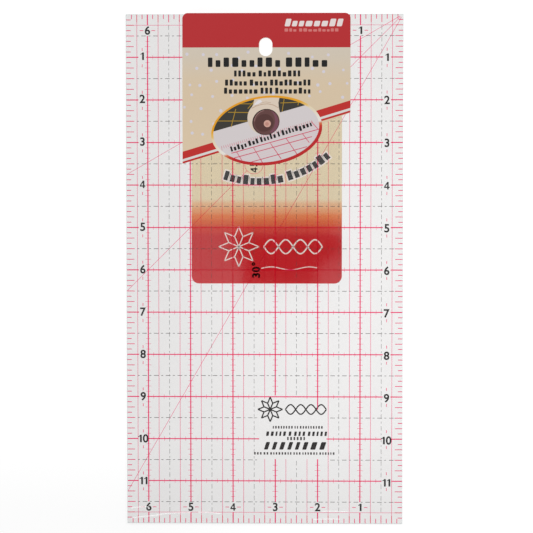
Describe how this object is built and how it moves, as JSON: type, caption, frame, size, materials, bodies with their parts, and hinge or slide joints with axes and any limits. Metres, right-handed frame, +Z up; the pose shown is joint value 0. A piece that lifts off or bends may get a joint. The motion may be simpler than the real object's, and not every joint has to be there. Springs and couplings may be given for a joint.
{
  "type": "quilting ruler",
  "caption": "Clear acrylic quilting ruler with a printed inch grid and angle lines, a slotted hang hole, and a folded hanging card with a hinged front flap.",
  "frame": {"origin": "under the middle of the whole object, on the surface it lies on, which is the back panel's underside", "axes": "+X across the width, towards the edge where the cross scale starts; +Y along the length, towards the hanging end; +Z up, out of the face that is read"},
  "size_m": [0.165, 0.3056, 0.005],
  "materials": {
    "acrylic_clear": "polished clear cast acrylic with laser-cut edges",
    "ink_pink": "translucent pink screen-print ink",
    "glue_clear": "clear removable adhesive",
    "card_back_print": "coated card printed cream to red",
    "card_fold_print": "coated card printed red",
    "card_front_print": "coated card printed cream and red"
  },
  "bodies": {
    "ruler": {"ruler_plate": "acrylic_clear", "printed_grid": "ink_pink", "glue_dot_left": "glue_clear", "glue_dot_right": "glue_clear"},
    "card_back": {"card_back_panel": "card_back_print"},
    "card_spine": {"card_spine": "card_fold_print"},
    "card_flap": {"card_front_flap": "card_front_print"}
  },
  "joints": [
    {"name": "card_slide", "type": "slide", "parent": "ruler", "child": "card_back", "axis": [0, 1, 0], "range_m": [0, 0.165]},
    {"name": "back_crease", "type": "hinge", "parent": "card_back", "child": "card_spine", "pos_m": [0.0012, 0.15275, 0], "axis": [-1, 0, 0], "range_deg": [0, 90]},
    {"name": "front_crease", "type": "hinge", "parent": "card_spine", "child": "card_flap", "pos_m": [0.0012, 0.15275, 0.005], "axis": [-1, 0, 0], "range_deg": [0, 90]}
  ]
}
